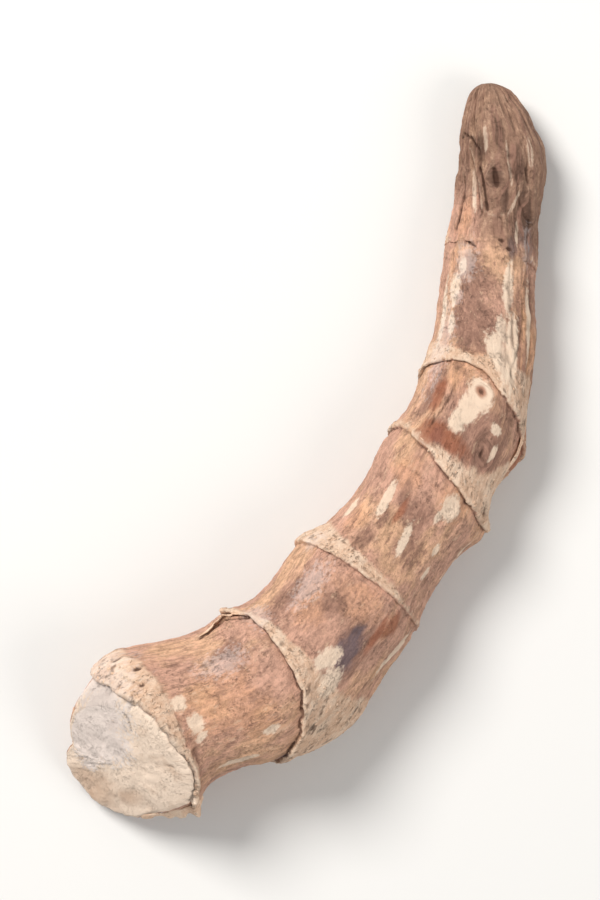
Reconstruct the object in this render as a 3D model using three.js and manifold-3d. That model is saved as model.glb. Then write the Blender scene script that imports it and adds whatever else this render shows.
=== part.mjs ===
// One trimmed, dried piece of calamus (sweet flag) rhizome, in millimetres.
// +Z is up. The piece lies on its flattened underside, its growing tip towards +Y,
// and the origin is under the middle of its box, on the surface that it lies on.
import * as THREE from "three";
import { mergeVertices } from "three/addons/utils/BufferGeometryUtils.js";
import Module from "manifold-3d";

// ---- Driving dimensions ----

// Plan of the growth axis, from the trimmed end (old) to the tip (young).
const AXIS_PLAN = [
  [-24.8, -36.6],
  [-14.6, -29.9],
  [-3.0, -25.2],
  [6.3, -15.3],
  [13.9, -4.7],
  [19.1, 6.4],
  [20.1, 18.0],
  [21.2, 29.6],
  [20.4, 39.0],
];

// Half width of the body between its nodes: [distance along the axis, half width].
const HALF_WIDTHS = [
  [-3.0, 5.2],
  [2.0, 7.0],
  [6.0, 7.9],
  [12.0, 7.9],
  [30.0, 7.6],
  [48.0, 6.4],
  [60.0, 5.7],
  [70.0, 5.15],
  [84.0, 4.4],
];
const TIP_ROUNDING = 13; // length over which the tip closes
const TIP_BLUNTNESS = 2.2; // 2 closes as an ellipse, more is blunter
const THICKNESS_RATIO = 0.84; // thickness over width
const SECTION_SQUARENESS = 2.25; // 2 is an ellipse

// The nodes are ring-shaped leaf scars. Each ring lies in a slanting plane: `lean` shifts
// it tipwards on the outside of the bend, `bow` shifts it tipwards on top.
const NODES = [
  { at: 10.9, lean: 0.0, bow: 1.9, swell: 1.15, reach: 2.6, step: 0.35 },
  { at: 23.9, lean: -1.2, bow: 1.8, swell: 0.8, reach: 3.2, step: 0.45 },
  { at: 37.3, lean: -0.4, bow: 1.4, swell: 0.75, reach: 3.4, step: 0.35 },
  { at: 51.7, lean: -1.4, bow: 0.0, swell: 0.65, reach: 3.2, step: 0.35 },
  { at: 60.4, lean: -2.2, bow: 3.6, swell: 0.5, reach: 3.4, step: 0.3 },
  { at: 77.2, lean: -0.9, bow: 0.5, swell: 0.25, reach: 2.6, step: 0.3 },
];

// Low humps where dormant buds sit, and dents where the height is below zero. `around` is in
// degrees: 0 is outside the bend, 90 is on top.
const LUMPS = [
  { at: 2.6, around: 203, radius: 6.2, height: -3.5 },
  { at: 0.0, around: -30, radius: 4.0, height: 0.6 },
  { at: 9.4, around: -14, radius: 2.2, height: 0.9 },
  { at: 20.4, around: -8, radius: 3.6, height: -1.4 },
  { at: 24.6, around: 196, radius: 2.2, height: 0.35 },
  { at: 28.6, around: -14, radius: 4.6, height: 1.5 },
  { at: 50.2, around: -4, radius: 2.0, height: 1.0 },
  { at: 39.2, around: 183, radius: 1.8, height: 0.5 },
  { at: 58.8, around: -10, radius: 2.8, height: 1.4 },
];

// Knife cut across the old end, slanting from the first ring on top to the bottom edge.
const CUT = { at: 4.6, lean: 1.6, bow: 6.4 };
const CUT_HALF_WIDTH = 8.0; // half width at which lean and bow are measured

const FLAT_DEPTH = 0.45; // how far the underside is worn flat
const UNDERSIDE_ARCH = 0.3; // rise of the underside between its resting places
const ARCH_LENGTH = 46; // distance between two resting places

const FIRST_ROW = -3; // the body starts here, and the knife cut trims it
const ROW_SPACING = 2.2; // between rows of the surface, along the axis
const ROWS_AT_NODE = [-1.3, -0.3, 0.3, 1.5]; // extra rows beside each ring
const COLUMNS = 40; // round the body
const BARK = { color: 0xb98f70, roughness: 0.88, metalness: 0.0 };

// ---- Shape of the body, as functions of the distance along it and the angle round it ----

const axis = new THREE.CatmullRomCurve3(
  AXIS_PLAN.map(([x, y]) => new THREE.Vector3(x, y, 0)),
  false,
  "centripetal",
);
axis.arcLengthDivisions = 800;
const LENGTH = axis.getLength();

// Smooth interpolation through [position, value] pairs, with flat ends.
function through(pairs, position) {
  const last = pairs.length - 1;
  if (position <= pairs[0][0]) return pairs[0][1];
  if (position >= pairs[last][0]) return pairs[last][1];
  const i = pairs.findIndex(([p]) => p > position) - 1;
  const slope = (a, b) => (pairs[b][1] - pairs[a][1]) / (pairs[b][0] - pairs[a][0]);
  const tangent = (k) => (k === 0 || k === last ? 0 : slope(k - 1, k + 1));
  const span = pairs[i + 1][0] - pairs[i][0];
  const u = (position - pairs[i][0]) / span;
  return (
    pairs[i][1] * (1 + 2 * u) * (1 - u) ** 2 +
    pairs[i + 1][1] * (3 - 2 * u) * u ** 2 +
    tangent(i) * span * u * (1 - u) ** 2 +
    tangent(i + 1) * span * (u - 1) * u ** 2
  );
}

// How far a row that crosses the axis at `along` is pulled tipwards at an angle round it.
const SLANTS = [{ at: CUT.at - 8, lean: 0, bow: 0 }, ...NODES, { at: LENGTH - 6, lean: 0, bow: 0 }];
const leanPairs = SLANTS.map((n) => [n.at, n.lean]);
const bowPairs = SLANTS.map((n) => [n.at, n.bow]);
function slant(along, angle) {
  return through(leanPairs, along) * Math.cos(angle) + through(bowPairs, along) * Math.sin(angle);
}

// The step at a ring, by distance from it: a hollow before it, then the raised edge of the scar.
function ringStep(distance) {
  const hollow = -0.45 * Math.exp(-(((distance + 0.5) / 0.7) ** 2));
  const edge = distance > 0 ? Math.exp(-distance / 1.6) : 0;
  return hollow + edge;
}

function halfWidth(along, row, angle) {
  let width = through(HALF_WIDTHS, along);
  for (const node of NODES) {
    const distance = row - node.at;
    width += node.swell * Math.exp(-((distance / node.reach) ** 2));
    width += node.step * ringStep(distance);
  }
  width *= 1 + 0.022 * Math.sin(2 * angle + 0.9 + 0.07 * along);
  width *= 1 + 0.018 * Math.sin(3 * angle - 0.11 * along);
  const fromTip = Math.min(1, Math.max(0, (LENGTH - along) / TIP_ROUNDING));
  return width * (1 - (1 - fromTip) ** TIP_BLUNTNESS) ** (1 / TIP_BLUNTNESS);
}

function lumpHeight(along, angle, radius) {
  let height = 0;
  for (const lump of LUMPS) {
    const turn = angle - THREE.MathUtils.degToRad(lump.around);
    const across = radius * Math.atan2(Math.sin(turn), Math.cos(turn));
    const distance = Math.hypot(along - lump.at, across);
    height += lump.height * Math.exp(-((distance / lump.radius) ** 2));
  }
  return height;
}

// Height of the axis over the surface that the piece lies on.
function axisHeight(along) {
  const arch = UNDERSIDE_ARCH * Math.sin((Math.PI * along) / ARCH_LENGTH) ** 2;
  const halfThickness = THICKNESS_RATIO * halfWidth(Math.max(along, 6), Math.max(along, 6), 0);
  return halfThickness - FLAT_DEPTH + arch;
}

// The axis at a distance along it, going straight on past both ends.
function axisPoint(along) {
  const u = THREE.MathUtils.clamp(along / LENGTH, 0, 1);
  const tangent = axis.getTangentAt(u);
  const point = axis.getPointAt(u).addScaledVector(tangent, along - u * LENGTH);
  point.z = axisHeight(Math.min(along, LENGTH - TIP_ROUNDING));
  return { point, tangent, side: new THREE.Vector3(tangent.y, -tangent.x, 0) };
}

const rounded = (value) => Math.sign(value) * Math.abs(value) ** (2 / SECTION_SQUARENESS);

// Carries a point of the straight body to the bent one.
function bend(row, angle, share) {
  const along = row + share * slant(row, angle);
  const width = halfWidth(along, row, angle);
  const grown = width > 0 ? width + lumpHeight(along, angle, width) : 0;
  const { point, side } = axisPoint(along);
  point.addScaledVector(side, share * grown * rounded(Math.cos(angle)));
  point.z += share * grown * THICKNESS_RATIO * rounded(Math.sin(angle));
  return point;
}

// ---- The solid ----

function rowPositions() {
  const rows = new Set();
  const span = LENGTH - FIRST_ROW;
  const count = Math.round(span / ROW_SPACING);
  for (let i = 0; i <= count; i++) rows.add(FIRST_ROW + (span * i) / count);
  const beside = NODES.flatMap((node) => ROWS_AT_NODE.map((offset) => node.at + offset));
  const kept = [...rows].filter((row) => beside.every((b) => Math.abs(b - row) > 0.7));
  const closing = [0.1, 0.4, 1.0].map((d) => LENGTH - d);
  return [...kept, ...beside, ...closing].sort((a, b) => a - b);
}

// A straight lathe body of unit radius, whose rows are then bent to the real shape.
function bodyGeometry() {
  const rows = rowPositions();
  const profile = [
    new THREE.Vector2(0, rows[0]),
    ...rows.slice(0, -1).map((row) => new THREE.Vector2(1, row)),
    new THREE.Vector2(0, LENGTH),
  ];
  const geometry = new THREE.LatheGeometry(profile, COLUMNS);
  const position = geometry.getAttribute("position");
  for (let i = 0; i < position.count; i++) {
    const [x, y, z] = [position.getX(i), position.getY(i), position.getZ(i)];
    const place = bend(y, Math.atan2(z, x), Math.min(1, Math.hypot(x, z)));
    position.setXYZ(i, place.x, place.y, place.z);
  }
  return geometry;
}

// The block of air beyond the knife cut.
function cutGeometry() {
  const size = 60;
  const { point, tangent, side } = axisPoint(CUT.at);
  const up = new THREE.Vector3(0, 0, 1);
  const normal = tangent
    .clone()
    .addScaledVector(side, -CUT.lean / CUT_HALF_WIDTH)
    .addScaledVector(up, -CUT.bow / (CUT_HALF_WIDTH * THICKNESS_RATIO))
    .normalize();
  const geometry = new THREE.BoxGeometry(size, size, size);
  geometry.translate(0, 0, -size / 2);
  const turn = new THREE.Quaternion().setFromUnitVectors(up, normal);
  return geometry.applyQuaternion(turn).translate(point.x, point.y, point.z);
}

// The block under the surface that the piece lies on, which wears its underside flat.
function groundGeometry() {
  const size = 200;
  return new THREE.BoxGeometry(size, size, size).translate(0, 0, -size / 2);
}

const wasm = await Module();
wasm.setup();

function solidOf(geometry) {
  const bare = geometry.clone();
  bare.deleteAttribute("normal");
  bare.deleteAttribute("uv");
  const merged = mergeVertices(bare, 1e-4);
  return new wasm.Manifold(
    new wasm.Mesh({
      numProp: 3,
      vertProperties: merged.getAttribute("position").array,
      triVerts: new Uint32Array(merged.index.array),
    }),
  );
}

function geometryOf(solid) {
  const { numProp, vertProperties, triVerts } = solid.getMesh();
  const geometry = new THREE.BufferGeometry();
  geometry.setAttribute("position", new THREE.BufferAttribute(vertProperties, numProp));
  geometry.setIndex(new THREE.BufferAttribute(triVerts, 1));
  geometry.computeVertexNormals();
  return geometry;
}

function rhizome() {
  const solid = solidOf(bodyGeometry())
    .subtract(solidOf(cutGeometry()))
    .subtract(solidOf(groundGeometry()));
  const mesh = new THREE.Mesh(geometryOf(solid), new THREE.MeshStandardMaterial(BARK));
  mesh.name = "rhizome";
  return mesh;
}

const piece = rhizome();
const box = new THREE.Box3().setFromObject(piece);
const middle = box.getCenter(new THREE.Vector3());
piece.geometry.translate(-middle.x, -middle.y, 0);

const calamusRoot = new THREE.Group();
calamusRoot.add(piece);
export default calamusRoot;
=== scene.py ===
"""A dried, trimmed piece of calamus (sweet flag) rhizome, lying on its flattened underside.

The bark is one closed mesh made of rows along the growth axis and columns round it. The rows
slant like the leaf scars, so that every scar nearly follows a row. Lengths in this file are
millimetres in the rhizome's own places (row along the axis, angle round it) and become metres
when a mesh is made.
An angle of 0 degrees is outside the bend, 90 is on top, 180 inside the bend, 270 underneath.
"""

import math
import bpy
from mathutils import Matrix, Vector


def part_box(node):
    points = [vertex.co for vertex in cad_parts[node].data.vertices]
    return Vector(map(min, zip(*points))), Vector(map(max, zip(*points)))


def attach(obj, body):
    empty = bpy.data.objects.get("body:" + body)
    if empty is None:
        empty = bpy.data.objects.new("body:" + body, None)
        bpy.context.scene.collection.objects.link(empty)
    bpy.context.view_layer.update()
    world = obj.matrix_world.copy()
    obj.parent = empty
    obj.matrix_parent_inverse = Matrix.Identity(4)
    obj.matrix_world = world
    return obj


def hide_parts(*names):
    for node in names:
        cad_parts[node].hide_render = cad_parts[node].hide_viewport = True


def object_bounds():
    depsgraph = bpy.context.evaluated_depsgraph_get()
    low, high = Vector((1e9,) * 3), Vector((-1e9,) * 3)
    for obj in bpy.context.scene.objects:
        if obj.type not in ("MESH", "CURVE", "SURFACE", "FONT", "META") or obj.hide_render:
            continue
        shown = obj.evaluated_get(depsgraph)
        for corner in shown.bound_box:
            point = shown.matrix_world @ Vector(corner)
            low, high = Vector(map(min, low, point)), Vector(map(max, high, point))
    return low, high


bl_info = {
    "name": "Calamus Root",
    "version": (1, 0, 0),
    "blender": (4, 5, 0),
    "location": "View3D > Sidebar > Calamus",
    "description": "Builds a dried calamus rhizome with its bark, leaf scars and knife cut",
    "category": "Add Mesh",
}

import bmesh
import bpy
import numpy as np
from mathutils import Vector, noise

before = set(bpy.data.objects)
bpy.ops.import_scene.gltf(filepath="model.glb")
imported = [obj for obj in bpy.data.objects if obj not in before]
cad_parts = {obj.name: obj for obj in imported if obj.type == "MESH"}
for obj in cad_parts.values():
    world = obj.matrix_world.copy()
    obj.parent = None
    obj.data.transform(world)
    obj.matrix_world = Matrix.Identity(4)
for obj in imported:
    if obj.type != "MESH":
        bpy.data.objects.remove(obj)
CAD_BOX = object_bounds()
CAD_NODE = "rhizome"
MM = 0.001

# ---- The body's driving dimensions, as in the CAD solid ----

AXIS_PLAN = np.array([
    (-24.8, -36.6),
    (-14.6, -29.9),
    (-3.0, -25.2),
    (6.3, -15.3),
    (13.9, -4.7),
    (19.1, 6.4),
    (20.1, 18.0),
    (21.2, 29.6),
    (20.4, 39.0),
])
HALF_WIDTHS = (
    (-3.0, 5.2),
    (2.0, 7.0),
    (6.0, 7.9),
    (12.0, 7.9),
    (30.0, 7.6),
    (48.0, 6.4),
    (60.0, 5.7),
    (70.0, 5.15),
    (84.0, 4.4),
)
TIP_ROUNDING = 13.0
TIP_BLUNTNESS = 2.2
THICKNESS_RATIO = 0.84
SECTION_SQUARENESS = 2.25
CUT_AT, CUT_LEAN, CUT_BOW = 4.6, 1.6, 6.4
CUT_HALF_WIDTH = 8.0
FLAT_DEPTH = 0.45
UNDERSIDE_ARCH = 0.3
ARCH_LENGTH = 46.0

# Humps and dents: (row, angle, radius, height).
LUMPS = (
    (2.6, 203, 6.2, -3.5),
    (0.0, -30, 4.0, 0.6),
    (9.4, -14, 2.2, 0.9),
    (20.4, -8, 3.6, -1.4),
    (24.6, 196, 2.2, 0.35),
    (28.6, -14, 4.6, 1.5),
    (50.2, -4, 2.0, 1.0),
    (39.2, 183, 1.8, 0.5),
    (58.8, -10, 2.8, 1.4),
)

# Broad humps of the bark itself, over the solid: (row, angle, radius, height).
BULGES = ((88.5, 0, 6.0, 1.15), (77.0, 0, 6.0, 0.6), (69.0, 6, 5.0, 0.5), (86.0, 180, 6.0, -0.5),
          (76.0, 180, 5.0, -0.45))

# The leaf scars that ring the body. `lean`, `bow`, `swell`, `reach` and `step` shape the body;
# `course` is how far the fine edge of the scar wanders from its row, and `band` is the width
# of the pale cork that lies tipwards of it, both as (angle, millimetres) all the way round.
# `tear` is how ragged that edge is, `line` how open the crease beside it is and how dark its painted shade,
# `closing` how far it closes at some angles, `pale` how strong the cork is and `ridge` how far it stands
# proud.
SCARS = (
    dict(at=10.9, lean=0.0, bow=1.9, swell=1.15, reach=2.6, step=0.35,
         line=0.8, pale=1.0, ridge=0.2,
         closing=((60, 1.0), (95, 0.45), (115, 0.2), (165, 0.15), (190, 0.8)),
         course=((0, -0.3), (22, 0.0), (36, 1.2), (50, 1.45), (63, 1.35), (83, 0.45), (103, -0.4),
                 (126, -1.7), (150, -2.4), (200, -1.0), (290, 0.4)),
         band=((0, 0.8), (36, 0.7), (62, 0.7), (78, 1.0), (92, 1.5), (110, 2.4), (128, 3.1),
               (144, 3.3), (180, 2.6), (270, 1.6))),
    dict(at=23.9, lean=-1.2, bow=1.8, swell=0.8, reach=3.2, step=0.45, line=0.8, pale=0.95, ridge=0.1,
         course=((0, -1.2), (30, -0.5), (52, 0.6), (73, 1.6), (93, 2.2), (121, 2.5), (145, 2.2),
                 (175, -0.2), (230, -0.8), (300, -0.6)),
         band=((0, 8.5), (16, 7.6), (44, 4.8), (67, 2.9), (90, 2.1), (113, 1.5), (144, 0.6),
               (200, 1.5), (290, 4.0))),
    dict(at=37.3, lean=-0.4, bow=1.4, swell=0.75, reach=3.4, step=0.35, line=0.3, pale=0.75, ridge=0.05,
         course=((0, 2.2), (69, 1.9), (108, 1.2), (137, 0.7), (180, 0.3), (270, 0.2)),
         band=((0, 0.5), (56, 0.9), (87, 1.7), (112, 2.5), (162, 4.0), (200, 3.4), (280, 1.6))),
    dict(at=51.7, lean=-1.4, bow=0.0, swell=0.65, reach=3.2, step=0.35, line=0.55, pale=1.0, ridge=0.1,
         course=((0, 0.5), (34, 1.0), (79, 1.6), (107, 2.2), (152, 2.4), (200, 1.2), (280, 0.2)),
         band=((0, 7.0), (17, 6.6), (42, 3.2), (73, 1.6), (102, 0.7), (150, 0.4), (210, 1.6),
               (300, 4.4))),
    dict(at=60.4, lean=-2.2, bow=3.6, swell=0.5, reach=3.4, step=0.3, line=0.4, pale=0.85, ridge=0.1,
         course=((0, 1.0), (18, 1.2), (67, 0.5), (89, 1.5), (106, 1.6), (136, 1.1), (190, 0.9),
                 (270, 0.2)),
         band=((0, 5.5), (40, 4.0), (70, 3.2), (100, 1.1), (131, 2.2), (180, 5.0), (270, 3.0))),
    dict(at=77.2, lean=-0.9, bow=0.5, swell=0.25, reach=2.6, step=0.3,
         line=0.12, pale=0.12, ridge=0.0, tear=0.5,
         course=((0, 0.2), (68, 1.0), (78, 1.8), (119, 0.8), (149, 0.4), (250, 0.4)),
         band=((0, 1.6), (90, 0.5), (130, 0.8), (180, 2.4), (270, 1.8))),
)

# ---- Marks on the bark ----

# By field: (row, angle, half length, half width), and a turn in degrees where there is one.
SPOTS = {
    "fleck": (
        (13.2, 100, 0.75, 0.8), (14.2, 85, 0.9, 0.85), (14.5, 75, 0.8, 0.4, 25), (21.8, 62, 0.8, 0.5),
        (29.6, 76, 1.7, 0.9, -20), (28.4, 60, 1.6, 1.2), (47.5, 116, 2.3, 0.5, 6),
        (45.3, 85, 2.1, 0.4, 8), (51.4, 66, 1.3, 1.0), (47.1, 53, 0.8, 0.36, 10), (44.2, 47, 0.9, 0.34),
        (44.2, 148, 1.4, 0.6), (49.9, 72, 0.8, 0.34), (59.5, 85, 1.4, 1.15), (58.0, 91, 1.5, 0.85, -20),
        (56.8, 96, 0.9, 0.75), (70.0, 131, 0.8, 0.35), (67.0, 132, 1.6, 0.5), (72.0, 131, 1.8, 0.8),
        (68.4, 150, 4.6, 0.5), (75.0, 122, 1.1, 0.5), (66.0, 60, 4.4, 0.8), (70.5, 36, 4.4, 0.45),
        (64.4, 74, 2.4, 1.2, 20), (73.4, 66, 3.6, 0.55), (35.5, 20, 3.0, 0.34), (47.6, 12, 2.6, 0.34),
        (58.4, 60, 0.34, 0.8, 20), (57.2, 50, 0.7, 0.34), (67.6, 73, 1.8, 0.6),
        (84.4, 120, 2.4, 0.34, 8), (83.4, 66, 1.6, 0.16, -20), (87.4, 74, 2.2, 0.18, 6),
        (90.2, 102, 1.4, 0.3), (80.6, 58, 1.6, 0.18), (88.6, 44, 1.4, 0.3), (18.5, 40, 2.2, 0.4, 6),
    ),
    "purple": (
        (32.0, 64, 3.2, 2.0, 10), (34.2, 98, 1.7, 1.1), (45.0, 76, 2.2, 1.5), (48.4, 86, 2.0, 1.1),
        (42.2, 111, 1.8, 0.8), (45.6, 108, 1.5, 0.5), (49.4, 104, 1.4, 0.5), (55.2, 107, 1.3, 1.6),
        (55.6, 96, 0.8, 1.4), (70.4, 52, 5.0, 0.34, 3), (66.0, 40, 3.0, 0.34), (73.6, 30, 3.0, 0.34),
        (56.9, 74, 2.3, 2.4), (57.4, 50, 2.0, 1.6), (59.0, 54, 2.4, 2.0), (67.0, 108, 5.2, 1.8),
        (73.4, 106, 3.4, 1.7), (58.0, 132, 2.4, 1.0, -10), (30.8, 132, 3.0, 1.4), (20.2, 128, 2.6, 1.2),
        (66.6, 92, 3.6, 1.5),
    ),
    "amber": (
        (36.0, 84, 2.2, 2.4), (17.9, 92, 4.2, 3.4), (20.6, 74, 2.4, 2.2), (51.0, 112, 1.7, 1.7),
        (51.8, 66, 1.6, 1.7), (60.4, 112, 1.8, 1.8), (43.6, 130, 2.0, 1.2), (32.4, 108, 2.6, 1.6),
        (75.6, 142, 1.4, 0.6), (62.6, 92, 1.2, 2.6), (81.4, 128, 2.4, 0.7), (66.5, 56, 4.0, 1.2),
        (69.0, 40, 6.4, 1.8), (81.0, 134, 2.6, 1.2),
    ),
    "red": (
        (37.0, 48, 1.6, 1.0), (35.0, 54, 2.4, 0.5, 12), (57.8, 124, 1.4, 0.7), (59.7, 86, 0.5, 0.45),
        (62.4, 6, 4.2, 0.7), (55.4, 101, 0.7, 2.6), (54.7, 115, 0.8, 1.2), (47.6, 99, 1.6, 0.34),
    ),
    "ink": (
        (31.4, 66, 2.3, 1.4, 15), (33.1, 70, 1.5, 0.8), (55.0, 106, 0.7, 0.7), (86.2, 91, 1.5, 0.8),
        (82.1, 52, 2.6, 1.0), (53.5, 22, 0.9, 0.8), (80.4, 41, 1.8, 0.8), (89.6, 112, 1.4, 1.2),
        (87.2, 62, 2.0, 0.6), (90.6, 84, 1.6, 0.5), (79.0, 64, 1.4, 0.5), (84.0, 78, 1.6, 0.4),
        (24.0, 22, 1.2, 0.7),
    ),
    # Cool pale patches: partly chalky bloom, partly a painted sheen on the upper bark.
    "bloom_and_sheen": (
        (7.8, 138, 3.0, 3.0), (9.0, 160, 2.6, 3.4), (64.5, 142, 5.5, 1.3), (70.8, 124, 1.0, 0.6),
        (75.4, 118, 2.4, 1.3), (79.4, 40, 2.0, 0.7), (38.6, 150, 1.4, 1.2), (19.2, 120, 3.0, 1.4),
        (27.0, 140, 1.4, 2.0), (34.0, 120, 2.8, 1.2),
    ),
}

# Holes and worn pits: as above, always with the turn, and with a depth at the end.
PITS = (
    (53.5, 24, 0.55, 0.5, 0, 0.6), (59.7, 86, 0.26, 0.24, 0, 0.2), (85.9, 90, 1.2, 0.24, 8, 0.4),
    (79.2, 78, 0.26, 0.3, 0, 0.3), (78.4, 68, 0.26, 0.3, 0, 0.3), (78.0, 114, 0.22, 0.6, 0, 0.25),
    (10.9, 153, 0.5, 0.3, 0, 0.2), (11.5, 135, 0.34, 0.28, 0, 0.25), (11.1, 121, 0.24, 0.26, 0, 0.2),
    (27.6, 80, 0.3, 0.26, 0, 0.15), (26.9, 104, 0.26, 0.3, 0, 0.15), (56.4, 62, 0.3, 0.26, 0, 0.2),
    (72.1, 131, 0.4, 0.32, 0, 0.12),
)

# Seams where the bark has split or lifted: points of (row, angle), then the depth of the crack
# and the height of the lip beside it. The lip is on the left of the seam's direction.
SEAMS = (
    (((17.8, 156), (20.2, 163), (22.6, 163), (24.8, 153), (26.0, 144)), 0.45, 0.3),
    (((89.1, 131), (86.8, 121), (84.6, 113), (82.2, 107), (81.4, 92), (81.7, 82)), 0.12, 0.4),
    (((87.0, 112), (85.6, 106), (83.8, 101), (82.4, 97)), 0.35, 0.05),
    (((66.4, 58), (70.0, 62), (73.6, 64), (77.0, 66)), 0.08, 0.12),
    (((63.4, 60), (66.4, 52), (69.8, 47), (73.4, 46), (76.4, 44)), 0.1, 0.12),
    (((64.8, 36), (68.4, 31), (72.4, 30), (76.4, 28)), 0.1, 0.1),
    (((41.0, 20), (44.4, 16), (48.4, 15), (52.4, 18)), 0.15, 0.25),
    (((30.0, 24), (32.8, 26), (35.6, 24), (38.4, 20)), 0.12, 0.2),
    (((55.4, 118), (57.0, 114), (59.0, 110)), 0.16, 0.08),
    (((79.4, 150), (82.4, 146), (86.0, 147)), 0.22, 0.1),
    (((78.1, 122), (78.0, 114), (77.8, 106)), 0.2, 0.12),
    (((83.9, 58), (82.4, 48), (81.8, 36)), 0.16, 0.1),
    (((86.6, 70), (88.6, 62), (90.0, 50), (89.4, 38)), 0.1, 0.12),
    (((80.4, 70), (83.6, 76), (86.4, 74), (88.4, 82), (90.8, 92)), 0.08, 0.12),
    (((79.6, 42), (82.4, 38), (85.4, 44), (87.0, 52)), 0.12, 0.12),
    (((90.9, 168), (91.2, 148), (90.6, 128), (89.1, 112)), 0.3, 0.3),
)

# Knots that the fibres flow round: (row, angle, radius).
KNOTS = ((85.9, 90, 0.8), (59.6, 84, 0.9), (56.6, 60, 0.9), (53.5, 24, 0.8), (82.6, 40, 1.0))

# Round scars of roots that have dropped off: (row, angle, radius, height of the rim).
ROOT_SCARS = [(56.6, 60, 1.5, 0.09), (59.6, 85, 1.4, 0.05), (51.4, 66, 0.9, 0.06)]
UNDERSIDE_ROWS = (15.5, 74.0)
UNDERSIDE_STEP = 3.4
UNDERSIDE_ANGLES = (236, 286, 258, 316, 222, 300)
UNDERSIDE_RISE = 0.2
CLEAR_OF_LEAF_SCAR = 1.8

# ---- The mesh grid ----

COLUMNS = 230
CUT_ROWS = 46
JOIN_ROW = 12.6
ROWS = 330
ROW_NEAR_SCAR = 0.13
ROW_ELSEWHERE = 0.33
CAP_RINGS = 30
RIM_PASSES = 90
FACE_DOME = 0.35
FACE_MIDDLE_ROW = 4.0
TURNED_ROWS = 4
# Painted shade on the cut's rounded rim: the angles over which it comes in, and its strength.
SHADED_RIM_FROM = (95, 140)
RIM_SHADE = 0.22


def srgb(code):
    """The linear colour of a web colour such as 0xC99C7B."""
    channels = [((code >> shift) & 255) / 255 for shift in (16, 8, 0)]
    return tuple(c / 12.92 if c <= 0.04045 else ((c + 0.055) / 1.055) ** 2.4 for c in channels)


def colour(name, description, code):
    return bpy.props.FloatVectorProperty(
        name=name, description=description, subtype="COLOR", size=3, min=0, max=1, default=srgb(code)
    )


def length(name, description, default):
    return bpy.props.FloatProperty(
        name=name, description=description, default=default * MM, min=0, unit="LENGTH", precision=5
    )


# ---- Settings ----


class CalamusShape(bpy.types.PropertyGroup):
    """Sizes of the relief on the bark"""

    wrinkle: length("Wrinkle depth", "Depth of the wrinkles that run along the bark", 0.15)
    lumpiness: length("Lumpiness", "Height of the broad, soft unevenness", 0.26)
    rim: length("Scar rim", "Height of the raised edge of each leaf scar", 0.15)
    crease: length("Scar crease", "Depth of the crease beside each leaf scar", 0.2)
    scale_size: length("Bark scale size", "Largest radius of the loose scales on the cork", 0.3)
    scale_density: bpy.props.FloatProperty(
        name="Bark scale density", description="Loose scales on each square metre of cork",
        default=600000, min=0,
    )
    seed: bpy.props.IntProperty(
        name="Seed", description="Seed of everything random on the piece", default=7, min=0,
    )


class CalamusColours(bpy.types.PropertyGroup):
    """Colours of the bark, the cork and the cut"""

    tan: colour("Tan", "Main colour of the bark", 0xD7AA89)
    rose: colour("Rose", "Second colour of the bark", 0xCA9C86)
    amber: colour("Amber", "Warm patches of the bark", 0xD89F77)
    purple: colour("Purple", "Dull purple-brown patches", 0x96705F)
    red: colour("Red", "Red-brown patches", 0x9C5C40)
    ink: colour("Ink", "Dark stains", 0x5E5660)
    cork: colour("Cork", "Pale cork beside the leaf scars", 0xDBB699)
    cream: colour("Cream", "Palest flecks and rims", 0xF4DDC5)
    # The bloom colour is partly chalky bloom and partly painted sheen, a cool highlight on the cut face and
    # upper bark.
    bloom_and_sheen: colour("Bloom", "Cool, chalky bloom", 0xEBE0DD)
    weathered: colour("Weathered", "Grey-brown of the tip", 0x8F6F5A)
    # The shadow colour is painted shade in creases, cracks, pits, folds and hollows and on the cut's rim,
    # and also real dark dirt, pores and streaks.
    shadow: colour("Shadow", "Dirt in creases and pits", 0x4A3024)
    pith: colour("Pith", "The knife-cut face", 0xFFE6CF)
    pith_stain: colour("Pith stain", "Stains on the cut face", 0xC9A284)


class CalamusStage(bpy.types.PropertyGroup):
    """The floor, the light and the camera"""

    floor: colour("Floor", "Colour of the floor", 0xE9E7E4)
    key_power: bpy.props.FloatProperty(
        name="Key light", description="Power of the large soft light", default=3.5, min=0, unit="POWER",
    )
    sky: bpy.props.FloatProperty(
        name="Sky light", description="Strength of the even light from all round", default=0.37, min=0,
    )
    margin: bpy.props.FloatProperty(
        name="Margin", description="Room round the piece in the picture, as a share of its length",
        default=0.09, min=0, subtype="FACTOR",
    )


# ---- The body's shape ----


def sample_axis(samples=300):
    """Distances and points along a centripetal Catmull-Rom curve through the plan."""
    ends = 2 * AXIS_PLAN[0] - AXIS_PLAN[1], 2 * AXIS_PLAN[-1] - AXIS_PLAN[-2]
    points = np.vstack([ends[0], AXIS_PLAN, ends[1]])
    u = np.linspace(0, 1, samples, endpoint=False)[:, None]
    curve = []
    for p0, p1, p2, p3 in zip(points, points[1:], points[2:], points[3:]):
        d0, d1, d2 = (math.sqrt(np.linalg.norm(b - a)) for a, b in ((p0, p1), (p1, p2), (p2, p3)))
        t1 = d1 * ((p1 - p0) / d0 - (p2 - p0) / (d0 + d1) + (p2 - p1) / d1)
        t2 = d1 * ((p2 - p1) / d1 - (p3 - p1) / (d1 + d2) + (p3 - p2) / d2)
        curve.append(p1 + t1 * u + (3 * (p2 - p1) - 2 * t1 - t2) * u**2 + (2 * (p1 - p2) + t1 + t2) * u**3)
    curve = np.vstack([*curve, AXIS_PLAN[-1:]])
    steps = np.linalg.norm(np.diff(curve, axis=0), axis=1)
    return np.concatenate([[0], np.cumsum(steps)]), curve


AXIS_AT, AXIS_XY = sample_axis()
LENGTH = AXIS_AT[-1]


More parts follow.
